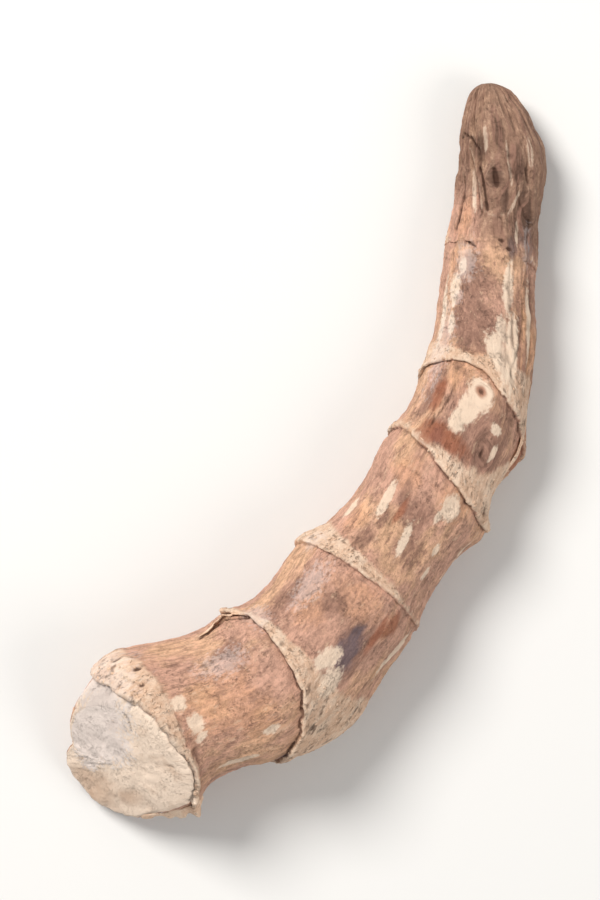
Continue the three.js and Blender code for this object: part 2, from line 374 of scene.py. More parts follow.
def through(pairs, at):
    """Smooth interpolation through (position, value) pairs, with flat ends."""
    p, v = np.array(pairs, float).T
    slopes = np.zeros(len(p))
    slopes[1:-1] = (v[2:] - v[:-2]) / (p[2:] - p[:-2])
    at = np.clip(at, p[0], p[-1])
    i = np.clip(np.searchsorted(p, at, side="right") - 1, 0, len(p) - 2)
    span = p[i + 1] - p[i]
    u = (at - p[i]) / span
    return (
        v[i] * (1 + 2 * u) * (1 - u) ** 2
        + v[i + 1] * (3 - 2 * u) * u**2
        + slopes[i] * span * u * (1 - u) ** 2
        + slopes[i + 1] * span * (u - 1) * u**2
    )


def around(pairs, angle):
    """Linear interpolation of (degrees, value) pairs all the way round."""
    degrees, values = np.array(pairs, float).T
    return np.interp(np.degrees(angle) % 360, degrees, values, period=360)


def slant(row, angle):
    flat = {"lean": 0.0, "bow": 0.0}
    stations = [dict(at=CUT_AT - 8, **flat), *SCARS, dict(at=LENGTH - 6, **flat)]
    lean = through([(s["at"], s["lean"]) for s in stations], row)
    bow = through([(s["at"], s["bow"]) for s in stations], row)
    return lean * np.cos(angle) + bow * np.sin(angle)


def ring_step(distance):
    hollow = -0.45 * np.exp(-(((distance + 0.5) / 0.7) ** 2))
    edge = np.where(distance > 0, np.exp(-np.maximum(distance, 0) / 1.6), 0)
    return hollow + edge


def half_width(along, row, angle):
    width = through(HALF_WIDTHS, along)
    for scar in SCARS:
        distance = row - scar["at"]
        width = width + scar["swell"] * np.exp(-((distance / scar["reach"]) ** 2))
        step = scar["step"] * (0.2 + 0.45 * scar["pale"])
        width = width + step * ring_step(distance - around(scar["course"], angle))
    width = width * (1 + 0.022 * np.sin(2 * angle + 0.9 + 0.07 * along))
    width = width * (1 + 0.018 * np.sin(3 * angle - 0.11 * along))
    from_tip = np.clip((LENGTH - along) / TIP_ROUNDING, 0, 1)
    return width * (1 - (1 - from_tip) ** TIP_BLUNTNESS) ** (1 / TIP_BLUNTNESS)


def across(degrees, angle, radius):
    """Distance round the body from a place at so many degrees."""
    turn = angle - math.radians(degrees)
    return radius * np.arctan2(np.sin(turn), np.cos(turn))


def lump_height(along, angle, radius, lumps=LUMPS):
    height = 0
    for at, degrees, size, rise in lumps:
        distance = np.hypot(along - at, across(degrees, angle, radius))
        height = height + rise * np.exp(-((distance / size) ** 2))
    return height


def axis_height(along):
    arch = UNDERSIDE_ARCH * np.sin(np.pi * along / ARCH_LENGTH) ** 2
    inner = np.maximum(along, 6.0)
    return THICKNESS_RATIO * half_width(inner, inner, 0.0) - FLAT_DEPTH + arch


def axis_frame(along):
    """The axis and its direction in plan, going straight on past both ends."""
    inside = np.clip(along, 0, LENGTH)
    middles = (AXIS_AT[1:] + AXIS_AT[:-1]) / 2
    steps = np.diff(AXIS_XY, axis=0) / np.diff(AXIS_AT)[:, None]
    point = np.stack([np.interp(inside, AXIS_AT, AXIS_XY[:, k]) for k in (0, 1)], -1)
    heading = np.stack([np.interp(inside, middles, steps[:, k]) for k in (0, 1)], -1)
    heading /= np.linalg.norm(heading, axis=-1, keepdims=True)
    return point + heading * (along - inside)[..., None], heading


def rounded(value):
    return np.sign(value) * np.abs(value) ** (2 / SECTION_SQUARENESS)


def body_place(row, angle):
    """Points of the smooth body, before its underside is worn flat."""
    along = row + slant(row, angle)
    width = half_width(along, row, angle)
    grown = np.where(width > 0, width + lump_height(along, angle, width), 0)
    point, heading = axis_frame(along)
    side = grown * rounded(np.cos(angle))
    height = axis_height(np.minimum(along, LENGTH - TIP_ROUNDING))
    return np.stack([
        point[..., 0] + heading[..., 1] * side,
        point[..., 1] - heading[..., 0] * side,
        height + grown * THICKNESS_RATIO * rounded(np.sin(angle)),
    ], -1)


def cut_plane():
    point, heading = axis_frame(np.array(CUT_AT))
    normal = np.array([
        heading[0] - heading[1] * CUT_LEAN / CUT_HALF_WIDTH,
        heading[1] + heading[0] * CUT_LEAN / CUT_HALF_WIDTH,
        -CUT_BOW / (CUT_HALF_WIDTH * THICKNESS_RATIO),
    ])
    centre = np.array([*point, axis_height(np.array(CUT_AT))])
    return centre, normal / np.linalg.norm(normal)


def cut_rows(angle):
    """The row at which the knife cut leaves each column, by bisection."""
    centre, normal = cut_plane()
    low = np.full_like(angle, -4.0)
    high = np.full_like(angle, JOIN_ROW - 0.3)
    for _ in range(30):
        middle = (low + high) / 2
        kept = (body_place(middle, angle) - centre) @ normal > 0
        high = np.where(kept, middle, high)
        low = np.where(kept, low, middle)
    return high


def row_positions():
    """Rows from the first scar to the tip, closest together at the scars and at the tip."""
    fine = np.linspace(JOIN_ROW, LENGTH, 6000)
    density = np.full_like(fine, 1 / ROW_ELSEWHERE)
    for scar in SCARS[1:]:
        distance = fine - scar["at"] - 0.6
        density += (1 / ROW_NEAR_SCAR - 1 / ROW_ELSEWHERE) * np.exp(-((distance / 1.6) ** 4))
    density += 9 * np.exp(-(LENGTH - fine) / 0.9)
    count = np.concatenate([[0], np.cumsum((density[1:] + density[:-1]) / 2)])
    return np.interp(np.linspace(0, count[-1], ROWS + 1), count, fine)[:-1]


class Bark:
    """Rows and columns of the bark, with fields over them."""

    def __init__(self, shape):
        self.shape = shape
        angle = np.linspace(0, 2 * np.pi, COLUMNS, endpoint=False)
        starts = cut_rows(angle)
        share = np.linspace(0, 1, CUT_ROWS, endpoint=False)[:, None]
        first = starts + (JOIN_ROW - starts) * share
        rest = np.repeat(row_positions()[:, None], COLUMNS, axis=1)
        self.row = np.vstack([first, rest])
        self.angle = np.broadcast_to(angle, self.row.shape)
        self.radius = through(HALF_WIDTHS, self.row)
        self.straight = self.straightened()
        self.base = worn(body_place(self.row, self.angle))
        self.normal = surface_normals(self.base)
        outwards = self.base[0] - self.base[0].mean(axis=0)
        outwards /= np.linalg.norm(outwards, axis=-1, keepdims=True)
        for i in range(TURNED_ROWS):
            self.normal[i] = outwards + (self.normal[i] - outwards) * i / TURNED_ROWS
        flat_face = cut_face(self, self.base[0])[0]
        self.base[:CUT_ROWS] = round_rim(self.base, flat_face, angle)
        self.shift = frame_shift(self.base.reshape(-1, 3))

    def straightened(self):
        """Places on the straight, round rhizome, with the fibres bent round the knots."""
        angle = self.angle
        for at, degrees, size in KNOTS:
            off = across(degrees, self.angle, self.radius)
            away = np.hypot(self.row - at, off)
            outside = -off * size**2 / np.maximum(away, size) ** 2
            inside = 0.4 * (away - size) - off
            angle = angle + np.where(away > size, outside, inside) / self.radius
        return np.stack([self.radius * np.cos(angle), self.radius * np.sin(angle), self.row], -1)

    def noise(self, scale, stretch=1.0, octaves=2, seed=0):
        """Noise from -1 to 1 on the straight rhizome; a stretch draws it out along the fibres."""
        places = self.straight * (scale, scale, scale / stretch)
        places += 17.3 * (seed + self.shape.seed)
        flat = places.reshape(-1, 3)
        values = [noise.fractal(Vector(p), 1.0, 2.1, octaves) for p in flat]
        return np.array(values).reshape(self.row.shape)

    def spots(self, marks):
        """1 in the middle of a mark, 0.5 along its edge, and 0 well outside every mark."""
        best = np.zeros_like(self.row)
        for at, degrees, half_length, half_wide, *turn in marks:
            along = self.row - at
            off = across(degrees, self.angle, self.radius)
            turned = math.radians(turn[0]) if turn else 0
            c, s = math.cos(turned), math.sin(turned)
            distance = np.hypot((along * c + off * s) / half_length, (off * c - along * s) / half_wide)
            best = np.maximum(best, 1 - 0.5 * distance)
        return best

    def seam(self, points):
        """Distance from a seam, and on which side of it each place lies."""
        near = np.full_like(self.row, 1e9)
        side = np.zeros_like(self.row)
        for (a_row, a_deg), (b_row, b_deg) in zip(points, points[1:]):
            radius = through(HALF_WIDTHS, np.array(a_row))
            x, y = self.row - a_row, across(a_deg, self.angle, self.radius)
            u, v = b_row - a_row, radius * math.radians(b_deg - a_deg)
            share = np.clip((x * u + y * v) / (u * u + v * v), 0, 1)
            distance = np.hypot(x - share * u, y - share * v)
            closer = distance < near
            near = np.where(closer, distance, near)
            side = np.where(closer, np.sign(u * y - v * x), side)
        return near, side


def worn(places):
    """The body with its underside worn flat where it lies."""
    height = places[..., 2]
    softness = 0.2
    places[..., 2] = (height + np.sqrt(height**2 + softness**2)) / 2
    return places


def surface_normals(places):
    down = np.gradient(places, axis=0)
    round_ = np.roll(places, -1, axis=1) - np.roll(places, 1, axis=1)
    normal = np.cross(down, round_)
    return normal / np.maximum(np.linalg.norm(normal, axis=-1, keepdims=True), 1e-9)


def smooth_step(value, low, high):
    t = np.clip((value - low) / (high - low), 0, 1)
    return t * t * (3 - 2 * t)


def underside_scars(seed):
    """Root scars in uneven rows along the underside."""
    random = np.random.default_rng(seed)
    rows = np.arange(*UNDERSIDE_ROWS, UNDERSIDE_STEP)
    scars = []
    for i, row in enumerate(rows):
        if min(abs(row - scar["at"]) for scar in SCARS) < CLEAR_OF_LEAF_SCAR:
            continue
        degrees = UNDERSIDE_ANGLES[i % len(UNDERSIDE_ANGLES)] + random.uniform(-9, 9)
        at = row + random.uniform(-0.7, 0.7)
        scars.append((at, degrees, random.uniform(0.8, 1.35), UNDERSIDE_RISE))
    return scars


# Rows between which the bark turns into the weathered tip, and how much later it does so
# inside the bend; rows between which the outer flank starts to be wrinkled.
TIP_ROWS = (75, 82)
TIP_LATER = 5.5
FLANK_ROWS = (61, 64)
# How ragged the edge of a leaf scar is, and how far either side of it its crease can reach.
EDGE_TEAR = 0.14
CREASE_REACH = 1.5
# Root scars whose rim is higher than this have a pale ring and painted shade in the hollow round their
# stub.
BOLD_RISE = 0.15


def scar_edge(bark, scar, ragged):
    """How far each place lies tipwards of the fine, torn edge of a leaf scar."""
    straight_edge = bark.row - scar["at"] - around(scar["course"], bark.angle)
    return straight_edge - scar.get("tear", EDGE_TEAR) * ragged


def scar_fields(bark, scar, ragged, patchy):
    """Relief in millimetres, and the edge, cork, rim and opened crease of one leaf scar."""
    shape = bark.shape
    edge = scar_edge(bark, scar, ragged)
    width = around(scar["band"], bark.angle)
    inside = np.minimum(1.6 * edge + 0.5, 0.5 + 0.32 * (width - edge))
    cork = inside - 0.5 * (1 - scar["pale"]) * (1 - np.clip(patchy, 0, 1))
    broken = np.clip(0.75 + 1.1 * patchy, 0.05, 1.25)
    strength = scar["line"] * (around(scar["closing"], bark.angle) if "closing" in scar else 1)
    line = np.exp(-(((edge + 0.08) / 0.13) ** 2)) * strength
    rim = smooth_step(edge, -0.08, 0.1) * np.exp(-np.maximum(edge, 0) / 0.4) * broken
    rim = rim * (0.1 + 0.9 * scar["pale"] ** 2)
    plate = 0.12 * (0.2 + 0.8 * scar["pale"]) * np.exp(-np.maximum(edge, 0) / (0.6 * width + 0.2))
    plate = np.where(edge > 0, plate, 0)
    raised = smooth_step(edge, -0.05, 0.15) * smooth_step(width - edge + 0.2 * ragged, -0.2, 0.25)
    relief = shape.rim / MM * rim - shape.crease / MM * line + plate + scar["ridge"] * raised
    reach = smooth_step(np.abs(edge), CREASE_REACH, CREASE_REACH - 0.5)
    opened = strength * np.clip(0.75 + 1.5 * patchy, 0.15, 1) * reach
    return relief, edge, cork, rim, opened


def seam_fields(bark, points, depth, lip, fine):
    """Relief in millimetres, and the crack and the raised lip, of one seam."""
    distance, side = bark.seam(points)
    distance = distance + 0.05 * fine
    opened = np.exp(-((distance / 0.17) ** 2))
    raised = np.where(side > 0, smooth_step(distance, 0.02, 0.16) * np.exp(-distance / 0.45), 0)
    return lip * raised - depth * opened, opened * min(1, depth / 0.3), raised * min(0.75, lip / 0.5)


def root_scar_fields(bark, at, degrees, size, rise, ragged):
    """Relief in millimetres, and the ring and the hollow round its stub, of one root scar."""
    off = np.hypot(bark.row - at, across(degrees, bark.angle, bark.radius)) + 0.15 * ragged
    ring = np.exp(-(((off - size) / 0.26) ** 2))
    disc = smooth_step(off, size, size - 0.5)
    stub = np.exp(-((off / 0.3) ** 2))
    hollow = np.exp(-(((off - 0.45) / 0.25) ** 2))
    return rise * ring - 0.6 * rise * disc + 0.5 * rise * stub, ring, hollow


def bark_fields(bark):
    """Relief in millimetres, and masks for the finish, over the rows and columns."""
    shape = bark.shape
    row, angle = bark.row, bark.angle
    top = np.sin(angle)
    ragged = bark.noise(0.9, octaves=3, seed=1)
    fine = bark.noise(2.2, stretch=1.4, octaves=2, seed=2)
    streaks = bark.noise(1.0, stretch=7, octaves=3, seed=3)
    threads = bark.noise(2.8, stretch=10, octaves=2, seed=4)
    folds = bark.noise(0.34, stretch=4.0, octaves=2, seed=8)

    tip = smooth_step(row, *TIP_ROWS)
    inside_bend = smooth_step(np.degrees(angle), 98, 114) * smooth_step(np.degrees(angle), 215, 190)
    grey = smooth_step(row - TIP_LATER * inside_bend, *TIP_ROWS)
    flank = smooth_step(row, *FLANK_ROWS) * smooth_step(np.cos(angle), 0.1, 0.5)
    under = smooth_step(-top, 0.0, 0.6)
    wrinkled = 0.5 + np.maximum.reduce([1.1 * tip, 0.6 * flank, 0.45 * under])

    relief = shape.lumpiness / MM * bark.noise(0.2, octaves=2, seed=5)
    relief += 0.1 * ragged + 0.045 * fine + lump_height(row, angle, bark.radius, BULGES)
    relief += shape.wrinkle / MM * wrinkled * (streaks - 0.6 * np.abs(streaks))
    relief += 0.03 * wrinkled * threads
    valley = np.exp(-((folds / 0.09) ** 2)) * (0.14 + np.maximum.reduce([tip, 0.5 * flank, 0.4 * under]))
    relief -= 0.15 * valley

    cork = np.zeros_like(row)
    edge_near = np.full_like(row, 9.0)
    crack = np.zeros_like(row)
    rims = np.zeros_like(row)
    patchy = bark.noise(0.6, octaves=2, seed=6)
    for scar in SCARS:
        height, edge, pale, rim, opened = scar_fields(bark, scar, ragged, patchy)
        relief += height
        cork = np.maximum(cork, pale)
        rims = np.maximum(rims, rim)
        closer = np.abs(edge) < np.abs(edge_near)
        edge_near = np.where(closer, edge, edge_near)
        crack = np.where(closer, opened, crack)
    face = cut_spread(bark, scar_edge(bark, SCARS[0], ragged))

    seams = np.zeros_like(row)
    for points, depth, lip in SEAMS:
        height, opened, raised = seam_fields(bark, points, depth, lip, fine)
        relief += height
        seams = np.maximum(seams, opened)
        rims = np.maximum(rims, raised)

    dark = np.zeros_like(row)
    # Pits are sunk, and darkened with painted shade.
    for *mark, depth in PITS:
        hole = smooth_step(bark.spots([mark]) + 0.25 * ragged, 0.3, 0.8)
        relief -= depth * hole
        dark = np.maximum(dark, hole * min(1, 0.3 + 1.6 * depth))

    for at, degrees, size, rise in [*ROOT_SCARS, *underside_scars(shape.seed)]:
        height, ring, hollow = root_scar_fields(bark, at, degrees, size, rise, ragged)
        relief += height
        if rise > BOLD_RISE:
            cork = np.maximum(cork, 0.95 * ring)
            dark = np.maximum(dark, 0.55 * hollow)

    grit = smooth_step(bark.noise(1.25, stretch=1.5, octaves=3, seed=11), 0.16, 0.42)
    grit = grit * smooth_step(patchy, -0.25, 0.15) * smooth_step(cork, 0.6, 0.85)

    masks = {
        "cork": np.clip(cork, 0, 1),
        "rim": np.clip(rims, 0, 1),
        "edge": np.clip(edge_near, -3, 3),
        # The crack mask is painted shade in the open crease beside each leaf scar. The crease mask is
        # painted shade in seams, pits, root-scar hollows and fold valleys, with real dark grit on the cork.
        "crack": crack * (1 - 0.9 * face * (np.abs(edge_near) > 0.6)),
        "crease": np.clip(np.maximum.reduce([seams, dark, 0.32 * valley * grey, 0.62 * grit]), 0, 1),
        "weathered": np.clip(grey * 0.95 + 0.3 * under, 0, 1),
        "streaked": np.clip(0.45 * flank + 0.75 * grey + 0.3 * under, 0, 1),
        "face": face,
    }
    masks |= {name: np.clip(bark.spots(marks), 0, 1) for name, marks in SPOTS.items()}
    return relief, masks


def cut_spread(bark, edge):
    """Where the pale cut carries on over its own rim, up to the crease of the first scar."""
    degrees = np.degrees(bark.angle)
    window = smooth_step(degrees, 14, 32) * smooth_step(degrees, 176, 150)
    upto_crease = smooth_step(edge, 0.06, -0.06) * window
    from_rim = bark.row - bark.row[0]
    return np.maximum(upto_crease, smooth_step(from_rim, 0.7, 0.2))


def cavity(relief):
    """How much lower than its surroundings each place lies: 0.5 is level, 1 is deep."""
    level = relief
    for _ in range(3):
        level = (level + np.roll(level, 2, 1) + np.roll(level, -2, 1)) / 3
        padded = np.pad(level, ((2, 2), (0, 0)), mode="edge")
        level = (padded[:-4] + padded[2:-2] + padded[4:]) / 3
    return np.clip(0.5 + 1.9 * (level - relief), 0, 1)


# ---- The knife-cut face, in places of its own: x outside the bend, y towards the ring ----

# Cool pale patches on the cut face, partly painted highlight and partly chalky bloom: (x, y, size).
FACE_SHEEN_AND_BLOOM = ((-0.61, -0.05, 0.42), (-0.72, 0.45, 0.44), (-0.3, 0.2, 0.3), (-0.2, -0.45, 0.14))
FACE_STAIN = ((0.31, -0.7, 0.36), (0.05, -0.8, 0.3), (0.6, -0.2, 0.16))
FACE_CRACKS = (((-0.44, 0.86), (-0.32, 0.8), (-0.2, 0.7)), ((0.42, 0.72), (0.48, 0.79)))


def face_spots(x, y, marks):
    best = np.zeros_like(x)
    for mark_x, mark_y, size in marks:
        best = np.maximum(best, 1 - 0.5 * np.hypot(x - mark_x, y - mark_y) / size)
    return best


def face_crack(x, y):
    near = np.full_like(x, 1e9)
    for points in FACE_CRACKS:
        for (ax, ay), (bx, by) in zip(points, points[1:]):
            u, v = bx - ax, by - ay
            share = np.clip(((x - ax) * u + (y - ay) * v) / (u * u + v * v), 0, 1)
            near = np.minimum(near, np.hypot(x - ax - share * u, y - ay - share * v))
    return np.exp(-((near / 0.022) ** 2))


def even_out(loop):
    """A closed loop of points with only its four slowest waves left."""
    waves = np.fft.rfft(loop, axis=0)
    waves[5:] = 0
    return np.fft.irfft(waves, len(loop), axis=0)


def cut_face(bark, rim):
    """Rings of the cut face from its rim inwards, with their masks."""
    _, normal = cut_plane()
    share = 1 - np.arange(1, CAP_RINGS)[:, None] / CAP_RINGS
    angle = bark.angle[0]
    x, y = share * np.cos(angle), share * np.sin(angle)
    centre = rim.mean(axis=0)
    calm = even_out(rim) - centre
    own = smooth_step(share, 0.8, 1.0)[..., None]
    places = centre + (calm + (rim - centre - calm) * own) * share[..., None]
    straight = bark.straight[0] * share[..., None]
    straight[..., 2] = bark.straight[0, :, 2] * share + FACE_MIDDLE_ROW * (1 - share)
    inside = smooth_step(1 - share, 0.0, 0.12)
    broad = np.array([noise.fractal(Vector(p), 1.0, 2.0, 3) for p in (straight * 0.35).reshape(-1, 3)])
    small = np.array([noise.fractal(Vector(p), 1.0, 2.0, 2) for p in (straight * 1.3).reshape(-1, 3)])
    crack = face_crack(x, y)
    offset = inside * (0.2 * broad.reshape(x.shape) + 0.07 * small.reshape(x.shape) - 0.15 * crack)
    offset = offset + FACE_DOME * (1 - share**2)
    places = places - normal * offset[..., None]
    masks = {
        "bloom_and_sheen": np.clip(1.3 * face_spots(x, y, FACE_SHEEN_AND_BLOOM), 0, 1),
        "amber": np.clip(face_spots(x, y, FACE_STAIN), 0, 1),
        "crease": crack * 0.6,
        "edge": np.full_like(x, -3.0),
        "face": np.ones_like(x),
    }
    return places, straight, masks, centre - normal * FACE_DOME


def round_rim(places, face, angle):
    """Rounds the rim of the cut, most of all on top, by relaxing each column across it."""
    line = np.concatenate([face[::-1], places[:CUT_ROWS]])
    steps = np.linalg.norm(np.diff(line, axis=0), axis=-1)
    travelled = np.concatenate([np.zeros((1, COLUMNS)), np.cumsum(steps, axis=0)])
    from_rim = np.abs(travelled - travelled[len(face)])
    degrees = np.degrees(angle)
    on_top = smooth_step(degrees, 14, 50) * smooth_step(degrees, 185, 140)
    reach = 0.3 + 1.3 * on_top
    weight = np.exp(-((from_rim / reach) ** 2))[1:-1, :, None] * 0.5
    for _ in range(RIM_PASSES):
        line[1:-1] += weight * (line[:-2] + line[2:] - 2 * line[1:-1])
    return line[len(face):]


# ---- Making the mesh ----


def grid_faces(rows, columns):
    """Quads between rows of a closed grid, wound to face outwards."""
    i = np.arange(rows - 1)[:, None] * columns
    j = np.arange(columns)
    after = (j + 1) % columns
    return np.stack([i + j, i + columns + j, i + columns + after, i + after], -1).reshape(-1, 4)


def fan_faces(ring, centre):
    return np.stack([ring, np.full_like(ring, centre), np.roll(ring, -1)], -1)


def make_mesh(name, places, quads, triangles):
    mesh = bpy.data.meshes.new(name)
    loops = np.concatenate([quads.ravel(), triangles.ravel()]).astype(np.int32)
    sizes = np.concatenate([np.full(len(quads), 4), np.full(len(triangles), 3)])
    starts = np.concatenate([[0], np.cumsum(sizes)[:-1]]).astype(np.int32)
    mesh.vertices.add(len(places))
    mesh.vertices.foreach_set("co", (places * MM).astype(np.float32).ravel())
    mesh.loops.add(len(loops))
    mesh.loops.foreach_set("vertex_index", loops)
    mesh.polygons.add(len(sizes))
    mesh.polygons.foreach_set("loop_start", starts)
    mesh.update(calc_edges=True)
    mesh.validate()
    mesh.shade_smooth()
    return mesh


def add_field(mesh, name, values):
    values = np.asarray(values, np.float32)
    if values.ndim == 2:
        mesh.attributes.new(name, "FLOAT_VECTOR", "POINT").data.foreach_set("vector", values.ravel())
    else:
        mesh.attributes.new(name, "FLOAT", "POINT").data.foreach_set("value", values)


def add_piece(name, mesh, material):
    piece = bpy.data.objects.new(name, mesh)
    bpy.context.scene.collection.objects.link(piece)
    mesh.materials.clear()
    mesh.materials.append(material)
    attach(piece, "root")
    return piece


def rhizome_mesh(shape):
    bark = Bark(shape)
    relief, masks = bark_fields(bark)
    # The relief fades where the piece lies, and where the tip closes.
    lifted = smooth_step(bark.base[..., 2], 0.1, 1.0)
    open_tip = smooth_step(LENGTH - bark.row, 0.0, 1.5)
    relief = relief * open_tip * (0.15 + 0.85 * lifted)
    places = bark.base + bark.normal * relief[..., None]
    places[..., 2] = np.maximum(places[..., 2], 0.0)
    # Painted shade: the cut's rounded rim is darkened from its top round the inside of the bend, through a
    # raised cavity value.
    shaded_rim = masks["face"] * smooth_step(np.degrees(bark.angle), *SHADED_RIM_FROM)
    masks["cavity"] = np.maximum(cavity(relief), 0.5 + RIM_SHADE * shaded_rim)

    face, face_straight, face_masks, middle = cut_face(bark, places[0])
    apex = places[-1].mean(axis=0)
    count = places[..., 0].size
    rings = np.arange(COLUMNS)
    cap = np.vstack([rings, count + 1 + np.arange(face[..., 0].size).reshape(-1, COLUMNS)])
    centre = count + 1 + face[..., 0].size

    body_quads = grid_faces(len(places), COLUMNS)
    cap_quads = np.stack([
        cap[:-1], np.roll(cap[:-1], -1, axis=1), np.roll(cap[1:], -1, axis=1), cap[1:],
    ], -1).reshape(-1, 4)
    last = rings + count - COLUMNS
    triangles = np.vstack([fan_faces(last, count), fan_faces(cap[-1], centre)[:, ::-1]])
    all_places = np.vstack([places.reshape(-1, 3), apex, face.reshape(-1, 3), middle])
    all_places[:, :2] += bark.shift
    mesh = make_mesh("calamus_rhizome", all_places, np.vstack([body_quads, cap_quads]), triangles)

    add_field(mesh, "straight", np.vstack([
        bark.straight.reshape(-1, 3), (0, 0, LENGTH), face_straight.reshape(-1, 3), (0, 0, FACE_MIDDLE_ROW),
    ]))
    level = {"cavity": 0.5}
    at_apex = {"weathered": 1.0, "edge": 3.0, **level}
    at_middle = {"face": 1.0, "edge": -3.0, **level}
    for name, body in masks.items():
        inner = face_masks.get(name, np.full(face.shape[:2], level.get(name, 0.0)))
        ends = at_apex.get(name, 0.0), at_middle.get(name, 0.0)
        add_field(mesh, name, np.concatenate([body.ravel(), ends[:1], inner.ravel(), ends[1:]]))
    return mesh


def frame_shift(places):
    """From the axis plan's own place to the frame's, by the middles of the two boxes."""
    low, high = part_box(CAD_NODE)
    wanted = (np.array(low) + np.array(high))[:2] / 2 / MM
    return wanted - (places.min(axis=0) + places.max(axis=0))[:2] / 2


# ---- Lifted strips of bark ----

# Paths of (row, angle), half width in mm, and how far the left-hand side of the path lifts.
STRIPS = (
    (((13.2, 6), (11.4, 4), (9.2, 0), (7.0, -8), (4.6, -17)), 1.1, 1.1),
    (((26.3, 147), (25.0, 158), (22.8, 167), (20.2, 166), (17.6, 158)), 0.55, 0.6),
    (((57.4, 16), (59.6, 14), (62.4, 10), (65.2, 6), (67.4, 3)), 0.45, 0.4),
)
STRIP_STEPS = 70
STRIP_COLUMNS = 7
STRIP_THICKNESS = 0.2


def on_bark(bark, row, angle):
    """Points of the smooth body at any rows and angles."""
    column = (angle / (2 * np.pi) * COLUMNS) % COLUMNS
    left = np.floor(column).astype(int) % COLUMNS
    share = (column - np.floor(column))[:, None]
    sides = []
    for j in (left, (left + 1) % COLUMNS):
        found = []
        for r, c in zip(row, j):
            found.append([np.interp(r, bark.row[:, c], bark.base[:, c, k]) for k in range(3)])
        sides.append(np.array(found))
    return sides[0] * (1 - share) + sides[1] * share


def strip_loop(bark, path, half, lift, seed):
    """A thin closed ribbon along a path, lying on the bark with one side lifted off it."""
    knots = np.array(path, float)
    steps = np.linspace(0, len(knots) - 1, STRIP_STEPS)
    t = np.arange(len(knots))
    row = np.interp(steps, t, knots[:, 0])
    degrees = np.interp(steps, t, knots[:, 1])
    radius = through(HALF_WIDTHS, row)
    d_row = np.gradient(row)
    d_off = np.gradient(np.radians(degrees)) * radius
    size = np.hypot(d_row, d_off)
    taper = np.sqrt(np.clip(np.sin(np.pi * np.linspace(0.02, 0.98, STRIP_STEPS)), 0, 1))
    shells = [[], []]
    for k in range(STRIP_COLUMNS):
        u = 2 * k / (STRIP_COLUMNS - 1) - 1
        points = np.stack([row * 0.9, degrees * 0.05, np.full_like(row, 0.4 * u + seed)], -1)
        jitter = np.array([noise.fractal(Vector(p), 1.0, 2.0, 2) for p in points])
        off = half * taper * (u + (0.35 * jitter if abs(u) == 1 else 0))
        at_row = row - d_off / size * off
        at_angle = np.radians(degrees) + d_row / size * off / radius
        foot = on_bark(bark, at_row, at_angle)
        above = on_bark(bark, at_row + 0.8, at_angle) - on_bark(bark, at_row - 0.8, at_angle)
        beside = on_bark(bark, at_row, at_angle + 0.1) - on_bark(bark, at_row, at_angle - 0.1)
        up = np.cross(above, beside)
        up /= np.maximum(np.linalg.norm(up, axis=1, keepdims=True), 1e-9)
        raised = lift * (0.5 + 0.5 * u) ** 1.5 * (0.7 + 0.6 * jitter) * taper - 0.07
        thick = STRIP_THICKNESS * (1 - 0.75 * u * u) * (0.4 + 0.6 * taper)
        shells[0].append(foot + up * (raised + thick)[:, None])
        shells[1].append(foot + up * (raised - 0.5 * thick)[:, None])
    return np.array(shells[0] + shells[1][::-1]).transpose(1, 0, 2)


def strips_mesh(shape):
    bark = Bark(shape)
    columns = 2 * STRIP_COLUMNS
    points, quads = [], []
    for number, (path, half, lift) in enumerate(STRIPS):
        loop = strip_loop(bark, path, half, lift, shape.seed + 5 * number)
        first = sum(len(p) for p in points)
        points.append(loop.reshape(-1, 3))
        ribbon = grid_faces(len(loop), columns) + first
        ends = []
        for end, flip in ((first, 1), (first + (len(loop) - 1) * columns, -1)):
            for k in range(STRIP_COLUMNS - 1):
                quad = [end + k, end + k + 1, end + columns - 2 - k, end + columns - 1 - k]
                ends.append(quad[::flip])
        quads += [ribbon, np.array(ends)]
    everything = np.vstack(points)
    everything[:, :2] += bark.shift
    everything[:, 2] = np.maximum(everything[:, 2], 0.02)
    mesh = make_mesh("bark_strips", everything, np.vstack(quads), np.zeros((0, 3), int))
    turned_out(mesh)
    return mesh


def turned_out(mesh):
    """Turns every face of closed shells outwards."""
    shape = bmesh.new()
    shape.from_mesh(mesh)
    bmesh.ops.recalc_face_normals(shape, faces=shape.faces)
    shape.to_mesh(mesh)
    shape.free()


# ---- Node trees ----


